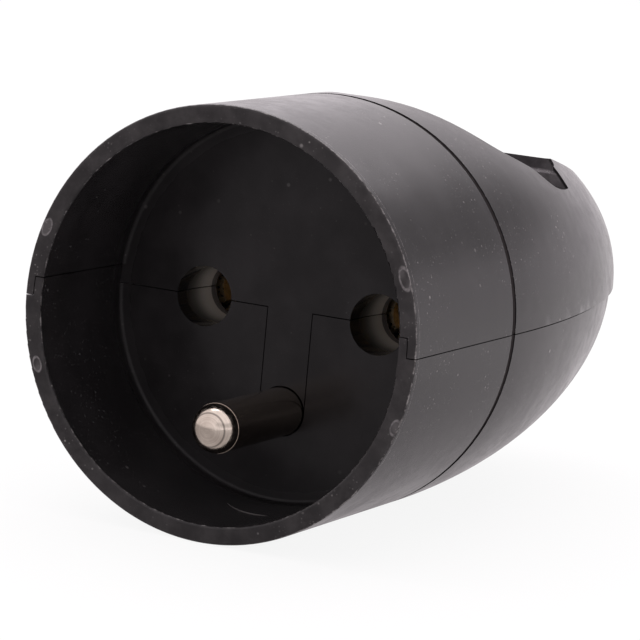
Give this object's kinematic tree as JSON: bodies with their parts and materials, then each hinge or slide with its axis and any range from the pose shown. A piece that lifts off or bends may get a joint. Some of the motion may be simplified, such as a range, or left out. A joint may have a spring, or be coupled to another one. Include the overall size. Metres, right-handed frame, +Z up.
{
  "type": "power connector socket",
  "caption": "Rewirable in-line socket outlet: round recess with contact holes and a projecting earth pin, two half shells that narrow to a cord entry.",
  "frame": {"origin": "centre of the rim of the plug recess, on the axis of the socket", "axes": "+Y along the axis from the rim to the cord entry, +Z up and away from the earth pin, +X towards the live contact"},
  "size_m": [0.0414, 0.0735, 0.0414],
  "materials": {
    "housing_plastic": "semi-gloss black moulding with light scuffs on its edges",
    "nickel_plate": "turned and nickel plated",
    "contact_brass": "drawn, bare",
    "spring_steel": "blued",
    "screw_steel": "zinc plated"
  },
  "bodies": {
    "root": {"upper_shell": "housing_plastic", "lower_shell": "housing_plastic", "earth_pin": "nickel_plate", "live_contact": "contact_brass", "neutral_contact": "contact_brass", "live_contact_spring": "spring_steel", "neutral_contact_spring": "spring_steel", "live_terminal_screw": "screw_steel", "neutral_terminal_screw": "screw_steel", "earth_terminal_screw": "screw_steel", "cord_clamp": "housing_plastic", "left_clamp_screw": "screw_steel", "right_clamp_screw": "screw_steel", "left_shell_screw": "screw_steel", "right_shell_screw": "screw_steel"}
  },
  "joints": []
}
